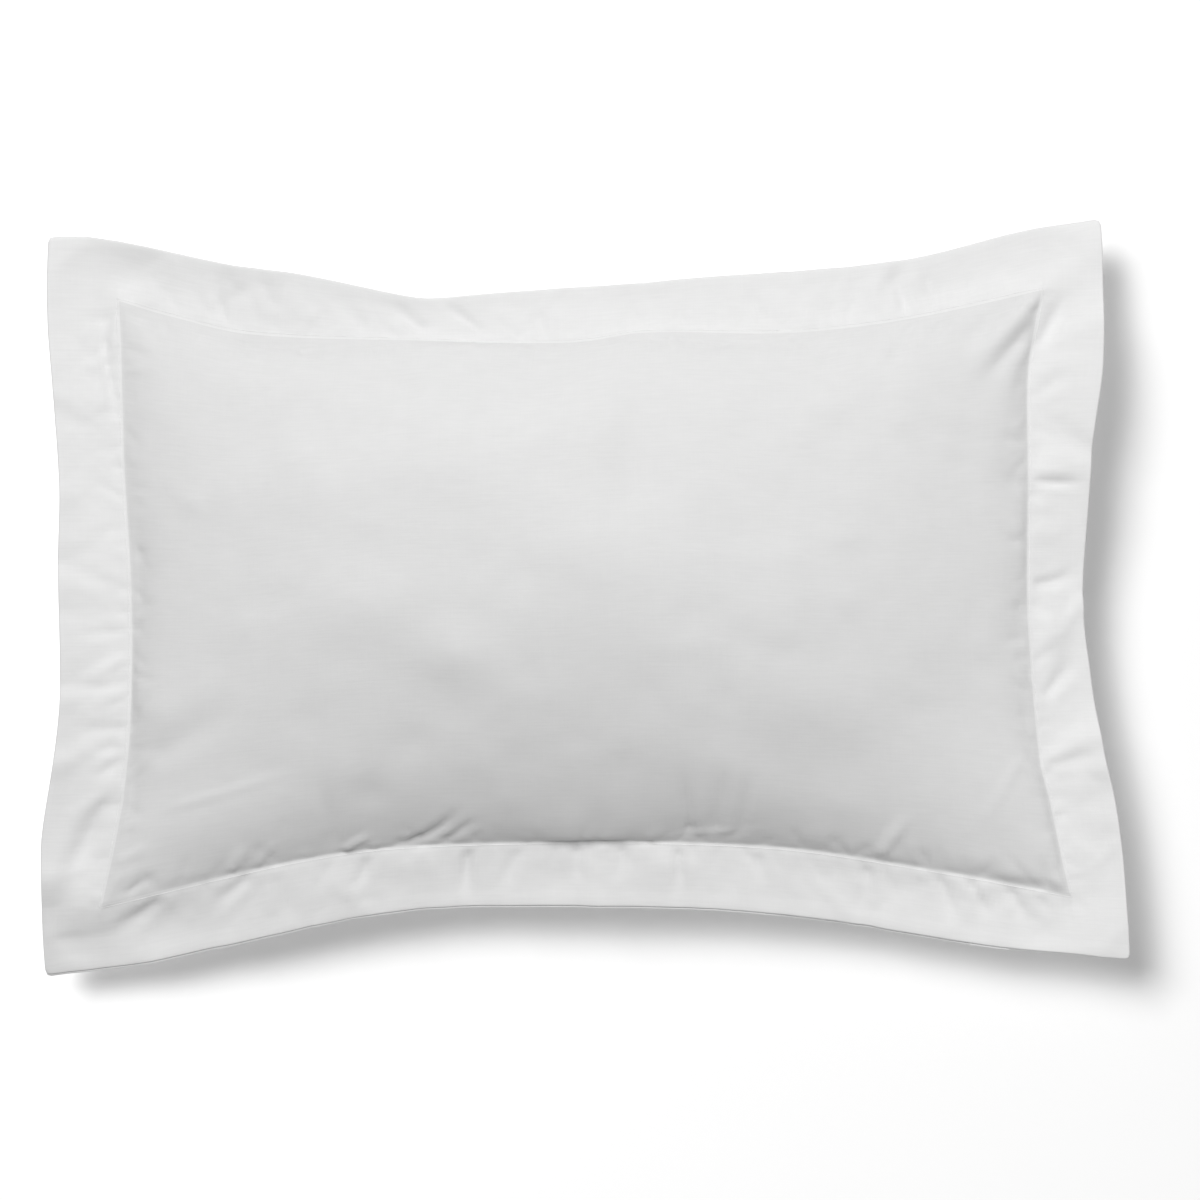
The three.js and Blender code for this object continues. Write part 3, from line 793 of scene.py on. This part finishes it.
def tube(centres, ups, radius, sides, closed):
    """Vertices and faces of a tube along points, with an up direction at each."""
    if closed:
        ahead = np.roll(centres, -1, 0) - np.roll(centres, 1, 0)
    else:
        ahead = np.gradient(centres, axis=0)
    ahead /= np.linalg.norm(ahead, axis=1, keepdims=True)
    side = np.cross(ahead, ups)
    side /= np.linalg.norm(side, axis=1, keepdims=True)
    up = np.cross(side, ahead)
    angles = np.arange(sides) * 2 * np.pi / sides
    ring = side[:, None] * np.cos(angles)[:, None] + up[:, None] * np.sin(angles)[:, None]
    vertices = (centres[:, None] + radius * ring).reshape(-1, 3)
    count = len(centres)
    i = np.arange(count if closed else count - 1)[:, None]
    k = np.arange(sides)[None]
    here, after = i * sides, (i + 1) % count * sides
    turn = (k + 1) % sides
    faces = np.stack([here + k, here + turn, after + turn, after + k], -1).reshape(-1, 4).tolist()
    if not closed:
        faces.append(list(range(sides))[::-1])
        faces.append([(count - 1) * sides + s for s in range(sides)])
    return vertices, faces


def thread_piece(name, corners, closed, layer, up, node):
    places, heights = stitch_places(corners, closed)
    x, y = places.T
    ups = at(up, x, y)
    centres = at(layer, x, y) + ups * (CLOTH / 2 + heights)[:, None]
    vertices, faces = tube(centres, ups, THREAD, THREAD_SIDES, closed)
    new_object(name, vertices, faces, MATERIALS["sewing_thread"], [node])


def rectangle(half_x, half_y):
    return [(-half_x, -half_y), (half_x, -half_y), (half_x, half_y), (-half_x, half_y)]


# ---- Materials ----


class Shader:
    """A Principled material, with short ways to add the nodes that drive it."""

    def __init__(self, name, roughness, sheen=0.0):
        self.material = bpy.data.materials.new(name)
        self.material.use_nodes = True
        self.nodes, self.links = self.material.node_tree.nodes, self.material.node_tree.links
        self.main = self.nodes["Principled BSDF"]
        self.main.inputs["Roughness"].default_value = roughness
        self.main.inputs["Sheen Weight"].default_value = sheen
        self.main.inputs["Specular IOR Level"].default_value = 0.3

    def node(self, kind, inputs=None, **settings):
        made = self.nodes.new("ShaderNode" + kind)
        for key, value in settings.items():
            setattr(made, key, value)
        for key, value in (inputs or {}).items():
            if isinstance(value, bpy.types.NodeSocket):
                self.links.new(value, made.inputs[key])
            else:
                made.inputs[key].default_value = value
        return made

    def math(self, operation, a, b=0.0):
        return self.node("Math", {0: a, 1: b}, operation=operation).outputs[0]

    def flat(self, scale):
        """The cloth's own flat coordinates, in metres, times a scale for each direction."""
        uv = self.node("UVMap", uv_map="flat").outputs[0]
        return self.node("Mapping", {"Vector": uv, "Scale": (*scale, 1)}).outputs[0]

    def place(self, scale):
        """Where the surface is on the object, in metres, times a scale."""
        here = self.node("TexCoord").outputs["Object"]
        return self.node("Mapping", {"Vector": here, "Scale": (scale, scale, scale)}).outputs[0]

    def noise(self, vector, detail=2.0, rough=0.5):
        inputs = {"Vector": vector, "Scale": 1.0, "Detail": detail, "Roughness": rough}
        return self.node("TexNoise", inputs).outputs[0]

    def waves(self, vector, axis):
        inputs = {"Vector": vector, "Scale": 1.0, "Distortion": 0.0}
        return self.node("TexWave", inputs, bands_direction=axis).outputs["Fac"]

    def spread(self, value, low, high):
        """A value from 0 to 1 moved to another range."""
        inputs = {"Value": value, "To Min": low, "To Max": high}
        return self.node("MapRange", inputs).outputs[0]

    def grey(self, value, tint=(1, 1, 1)):
        colour = self.node("CombineColor", {i: self.math("MULTIPLY", value, t) for i, t in enumerate(tint)})
        self.links.new(colour.outputs[0], self.main.inputs["Base Color"])

    def bump(self, height, distance, strength=1.0):
        inputs = {"Height": height, "Distance": distance, "Strength": strength}
        if self.main.inputs["Normal"].is_linked:
            inputs["Normal"] = self.main.inputs["Normal"].links[0].from_socket
        made = self.node("Bump", inputs)
        self.links.new(made.outputs[0], self.main.inputs["Normal"])

    def rough(self, value):
        self.links.new(value, self.main.inputs["Roughness"])


BODY_WHITE, FLANGE_PAINTED_WHITE = 0.79, 0.86  # painted light: the same cotton is painted whiter over the flange than over the body
THREADS = 3600  # yarns in a metre of percale
WAVE_PERIOD = 20  # a wave texture at scale 1 has this many bands in a unit, over 2 pi


def percale():
    """Plain-weave cotton: crossing yarns, a slub here and there, and a border painted whiter than the body,
    as painted light.
    """
    s = Shader("percale_cotton", 0.82, 0.12)
    weft = s.noise(s.flat((26, 900)), 3)
    warp = s.noise(s.flat((900, 26)), 2)
    slubs = s.noise(s.flat((60, 420)), 2)
    cloudy = s.noise(s.flat((45, 60)), 3)
    uv = s.node("SeparateXYZ", {0: s.node("UVMap", uv_map="flat").outputs[0]})
    # Painted light: past the seam, over the flange, the base colour is made whiter than over the body.
    past_x = s.math("SUBTRACT", s.math("ABSOLUTE", uv.outputs[0]), HALF_X)
    past_y = s.math("SUBTRACT", s.math("ABSOLUTE", uv.outputs[1]), HALF_Y)
    border = s.math("GREATER_THAN", s.math("MAXIMUM", past_x, past_y), 0.0)
    white = s.spread(border, BODY_WHITE, FLANGE_PAINTED_WHITE)
    for pattern, share in ((weft, 0.030), (warp, 0.014), (slubs, 0.024), (cloudy, 0.022)):
        white = s.math("MULTIPLY", white, s.spread(pattern, 1 - share, 1 + share))
    s.grey(white, (1, 1, 0.998))
    weave_scale = THREADS / WAVE_PERIOD * 2 * math.pi
    over = s.waves(s.flat((weave_scale, weave_scale)), "X")
    under = s.waves(s.flat((weave_scale, weave_scale)), "Y")
    s.bump(s.math("MULTIPLY", over, under), 0.00006, 0.6)
    s.bump(s.math("ADD", weft, s.math("MULTIPLY", slubs, 0.6)), 0.00010, 0.5)
    s.rough(s.spread(weft, 0.76, 0.88))
    return s.material


def ticking():
    """Dense twill ticking, with fine diagonal ribs."""
    s = Shader("downproof_ticking", 0.8, 0.05)
    diagonal = s.node("Mapping", {"Vector": s.flat((500, 500)), "Rotation": (0, 0, math.radians(63))})
    ribs = s.waves(diagonal.outputs[0], "X")
    s.grey(s.spread(s.noise(s.flat((40, 600)), 2), 0.80, 0.86), (1, 1, 0.985))
    s.bump(ribs, 0.0001, 0.6)
    return s.material


def cord_like(name, white, scale, roughness):
    """Spun thread, cord or tape: fine fibres in a tight twist."""
    s = Shader(name, roughness, 0.2)
    fibres = s.noise(s.place(scale), 3, 0.6)
    s.grey(s.spread(fibres, white - 0.03, white + 0.02))
    s.bump(fibres, 0.00008, 0.6)
    return s.material


def label_tape():
    """Blank woven satin tape."""
    s = Shader("label_tape", 0.5, 0.1)
    ribs = s.waves(s.flat((40, 700)), "Y")
    s.grey(s.spread(s.noise(s.flat((300, 900)), 2), 0.78, 0.84), (1, 1, 0.99))
    s.bump(ribs, 0.00006, 0.5)
    return s.material


def fibre():
    """Siliconised polyester fibre, in soft clumps."""
    s = Shader("polyester_fibre", 0.95, 0.4)
    clumps, hairs = s.noise(s.place(60), 4, 0.6), s.noise(s.place(1400), 2)
    s.grey(s.spread(s.math("MULTIPLY", clumps, hairs), 0.82, 0.95))
    s.bump(clumps, 0.004, 0.7)
    s.bump(hairs, 0.0004, 0.5)
    return s.material


MATERIALS = {
    "case_cotton": percale(),
    "sewing_thread": cord_like("cotton_thread", 0.90, 5200, 0.6),
    "label_tape": label_tape(),
    "ticking": ticking(),
    "piping": cord_like("piping_cord", 0.86, 1800, 0.75),
    "fibre": fibre(),
}

# ---- The case ----


def grid_line(lines, value):
    return int(np.abs(lines - value).argmin())


def build_case():
    flat = np.stack([FX, FY], -1)
    cotton, slot = MATERIALS["case_cotton"], "case_cotton"
    front = cloth_piece("case_front", FRONT_LAYER, flat, False, cotton, "case_front_panel")
    back_end, flap_end = grid_line(GX, BACK_EDGE_X), grid_line(GX, FLAP_EDGE_X)
    block, flat = hemmed(BACK_LAYER, 0, back_end, BACK_HEM, BACK_NORMAL)
    back = cloth_piece("case_back", block, flat, True, cotton, "case_back_panel")
    block, flat = hemmed(FLAP_LAYER, len(GX) - 1, flap_end, FLAP_HEM, BACK_NORMAL)
    flap = cloth_piece("case_flap", block, flat, True, cotton, "case_closure_flap")


def build_threads():
    seam = rectangle(HALF_X + STITCH_OFFSET, HALF_Y + STITCH_OFFSET)
    under = np.where((FX > BACK_EDGE_X)[..., None], FLAP_LAYER, BACK_LAYER)
    down = -BACK_NORMAL
    thread_piece("flange_topstitch", seam, True, FRONT_LAYER, FRONT_NORMAL, "flange_topstitch_thread")
    thread_piece("flange_bobbin", seam, True, under, down, "flange_bobbin_thread")
    edge = rectangle(EDGE_X - EDGE_SEAM_INSET, EDGE_Y - EDGE_SEAM_INSET)
    thread_piece("edge_seam", edge, True, FRONT, down, "edge_seam_thread")
    hems = [
        ("back_hem", BACK_EDGE_X - BACK_HEM + HEM_STITCH_INSET, BACK_LAYER, "back_panel_hem_thread"),
        ("flap_hem", FLAP_EDGE_X + FLAP_HEM - HEM_STITCH_INSET, FLAP_LAYER, "closure_flap_hem_thread"),
    ]
    for name, x, layer, node in hems:
        thread_piece(name, [(x, -HALF_Y), (x, HALF_Y)], False, layer, down, node)


# ---- The insert ----

TICKING_TOP, TICKING_UNDER, FILL_SHARE = 0.955, 0.94, 0.985
TAPER_POWER = 12  # how late the insert's thickness closes towards its seam
INSERT_CELLS = (120, 80)
RIM_CROWDING = 1.3  # how much closer together the insert's grid lines lie at its seam
PIPING_RADIUS = 0.0018
PIPING_OFFSET = 0.003
PIPING_STEPS, PIPING_SIDES = 90, 12
LABEL_WIDTH = 0.050
LABEL_CELLS = (16, 20)
LABEL_START = 0.002  # its lower side's flat Y
LABEL_TUCK = 0.002  # how far inside the case's seam its label starts
RIPPLE_HEIGHT, RIPPLE_RATE, RIPPLE_START = 0.0004, 160, 0.01
FRONT_ROOM = 0.0012  # between the ticking and the front, so that no fold's valley meets it
UNDER_CLEARANCE = 0.0035  # what the case's layers take up under the insert


def insert_surfaces(share):
    """The insert's top and underside, scaled about the sheet midway between them."""
    even = (np.linspace(-1, 1, n + 1) for n in INSERT_CELLS)
    closer = (np.sign(line) * (1 - (1 - np.abs(line)) ** RIM_CROWDING) for line in even)
    u, v = np.meshgrid(*closer, indexing="ij")
    x, y = u * (HALF_X - INSERT_EASE), v * (HALF_Y - INSERT_EASE)
    taper = np.sqrt((1 - u**TAPER_POWER) * (1 - v**TAPER_POWER))[..., None]
    top, under = at(FRONT - FRONT_ROOM * FRONT_NORMAL, x, y), at(BACK, x, y)
    middle = (top + under) / 2
    top = middle + (top - middle) * share * TICKING_TOP * taper
    under = middle + (under - middle) * share * TICKING_UNDER * taper
    under[..., 2] = np.maximum(under[..., 2], UNDER_CLEARANCE / share)
    return top, under, np.stack([x, y], -1)


def build_insert():
    top, under, flat = insert_surfaces(1.0)
    cloth = MATERIALS["ticking"]
    upper = cloth_piece("insert_top", top, flat, False, cloth, "insert_top_ticking")
    lower = cloth_piece("insert_under", under, flat, True, cloth, "insert_bottom_ticking")
    top, under, _ = insert_surfaces(FILL_SHARE)
    ids = np.arange(top.shape[0] * top.shape[1]).reshape(top.shape[:2])
    under_ids = ids.copy()
    inner = np.s_[1:-1, 1:-1]
    under_ids[inner] = ids.size + np.arange(ids[inner].size).reshape(ids[inner].shape)
    vertices = np.concatenate([top.reshape(-1, 3), under[inner].reshape(-1, 3)])
    faces = np.concatenate([quad_ids(ids, False), quad_ids(under_ids, True)])
    fill = new_object("fibre", vertices, faces, MATERIALS["fibre"], ["fibre_fill"])


def build_piping():
    """The corded edge that closes the insert's seam."""
    half_x, half_y = HALF_X - INSERT_EASE + PIPING_OFFSET, HALF_Y - INSERT_EASE + PIPING_OFFSET
    corners = rectangle(half_x, half_y)
    places = []
    for (x0, y0), (x1, y1) in zip(corners, [*corners[1:], corners[0]]):
        t = np.linspace(0, 1, PIPING_STEPS, endpoint=False)[:, None]
        places.append(np.array([(x0, y0)]) * (1 - t) + np.array([(x1, y1)]) * t)
    x, y = np.concatenate(places).T
    centres = (at(FRONT, x, y) + at(BACK, x, y)) / 2
    ups = np.tile([0.0, 0.0, 1.0], (len(centres), 1))
    vertices, faces = tube(centres, ups, PIPING_RADIUS, PIPING_SIDES, True)
    new_object("insert_piping_cord", vertices, faces, MATERIALS["piping"], ["insert_piping"])


def build_label(name, seam_x, inner_x, surface, lift, node):
    """A blank label, sewn in at one end and lying on a surface."""
    x, y = np.meshgrid(
        np.linspace(seam_x, inner_x, LABEL_CELLS[0] + 1),
        np.linspace(LABEL_START, LABEL_START + LABEL_WIDTH, LABEL_CELLS[1] + 1),
        indexing="ij",
    )
    if inner_x < seam_x:
        x, y = x[::-1], y[::-1]
    away = np.abs(x - seam_x)
    ripple = RIPPLE_HEIGHT * np.sin(away * RIPPLE_RATE) * smooth(away / RIPPLE_START)
    block = at(surface, x, y)
    block[..., 2] += lift + ripple
    flat = np.stack([x, y], -1)
    piece = cloth_piece(name, block, flat, False, MATERIALS["label_tape"], node)


build_case()
build_threads()
build_insert()
build_piping()
case_seam, insert_seam = HALF_X - LABEL_TUCK, -HALF_X + INSERT_EASE
build_label("case_label", case_seam, BACK_EDGE_X, FLAP_LAYER, 0.0012, "case_care_label")
build_label("insert_label", insert_seam, -BACK_EDGE_X, BACK_LAYER, 0.0009, "insert_care_label")

# ---- Studio ----

scene = bpy.context.scene
FLOOR_HALF = 6
FLOOR_WHITE, FLOOR_GLOW = 0.98, 0.15
WORLD_LIGHT = 0.22
# Each lamp: its direction, its distance, its size, and the light that it gives at the origin.
LAMP_DISTANCE, LAMP_SIZE = 8, 3.6
CLOTH_WAY, CLOTH_LIGHT = (-0.08, 0.50, 1.0), 0.64
FLOOR_WAY, FLOOR_LIGHT = (-0.55, 0.50, 1.0), 0.68
FILL_PLACE, FILL_SIZE, FILL_POWER = (1.2, -0.5, 0.9), 0.6, 1.5
WATTS = 10.7  # what a lamp at one metre takes to light a surface that faces it by one unit
LENS, SENSOR = 85, 36
VIEW_WIDTH, VIEW_CENTRE, VIEW_FOCUS = 0.929, (0.0117, -0.0016), 0.06


def build_floor():
    r = FLOOR_HALF
    mesh = bpy.data.meshes.new("floor")
    mesh.from_pydata([(-r, -r, 0), (r, -r, 0), (r, r, 0), (-r, r, 0)], [], [(0, 1, 2, 3)])
    floor = bpy.data.objects.new("floor", mesh)
    scene.collection.objects.link(floor)
    paper = Shader("studio_paper", 0.95)
    grain = paper.noise(paper.place(900), 2)
    paper.grey(paper.spread(grain, FLOOR_WHITE - 0.005, FLOOR_WHITE + 0.005))
    paper.main.inputs["Emission Color"].default_value = (1, 1, 1, 1)
    paper.main.inputs["Emission Strength"].default_value = FLOOR_GLOW
    mesh.materials.append(paper.material)


def area_light(name, place, size, power, receivers):
    """A square lamp that shines at the origin, and only on the given pieces."""
    data = bpy.data.lights.new(name, "AREA")
    data.energy = power
    data.size = size
    lamp = bpy.data.objects.new(name, data)
    scene.collection.objects.link(lamp)
    lamp.location = place
    lamp.rotation_euler = (-Vector(place)).to_track_quat("-Z", "Y").to_euler()
    lit = bpy.data.collections.new(name + "_lit")
    for piece in receivers:
        lit.objects.link(piece)
    lamp.light_linking.receiver_collection = lit


def key_light(name, way, light, receivers):
    towards = Vector(way)
    place = towards.normalized() * LAMP_DISTANCE
    power = WATTS * light * towards.length * LAMP_DISTANCE**2
    area_light(name, place, LAMP_SIZE, power, receivers)


def light_room():
    """The cloth is lit from the far side. The floor has its own key, further to the left, so that
    the shadow falls towards the right and near side."""
    floor = [bpy.data.objects["floor"]]
    cloth = [piece for piece in scene.objects if piece.type == "MESH" and piece not in floor]
    key_light("cloth_key", CLOTH_WAY, CLOTH_LIGHT, cloth)
    key_light("floor_key", FLOOR_WAY, FLOOR_LIGHT, floor)
    area_light("fill", FILL_PLACE, FILL_SIZE, FILL_POWER, cloth)
    world = bpy.data.worlds.new("studio")
    scene.world = world
    world.use_nodes = True
    background = world.node_tree.nodes["Background"]
    background.inputs["Color"].default_value = (1, 1, 1, 1)
    background.inputs["Strength"].default_value = WORLD_LIGHT
    scene.view_settings.view_transform = "Standard"


def place_camera():
    data = bpy.data.cameras.new("camera")
    data.lens, data.sensor_width = LENS, SENSOR
    camera = bpy.data.objects.new("camera", data)
    scene.collection.objects.link(camera)
    camera.location = (*VIEW_CENTRE, VIEW_FOCUS + VIEW_WIDTH * LENS / SENSOR)
    scene.camera = camera


build_floor()
light_room()
place_camera()
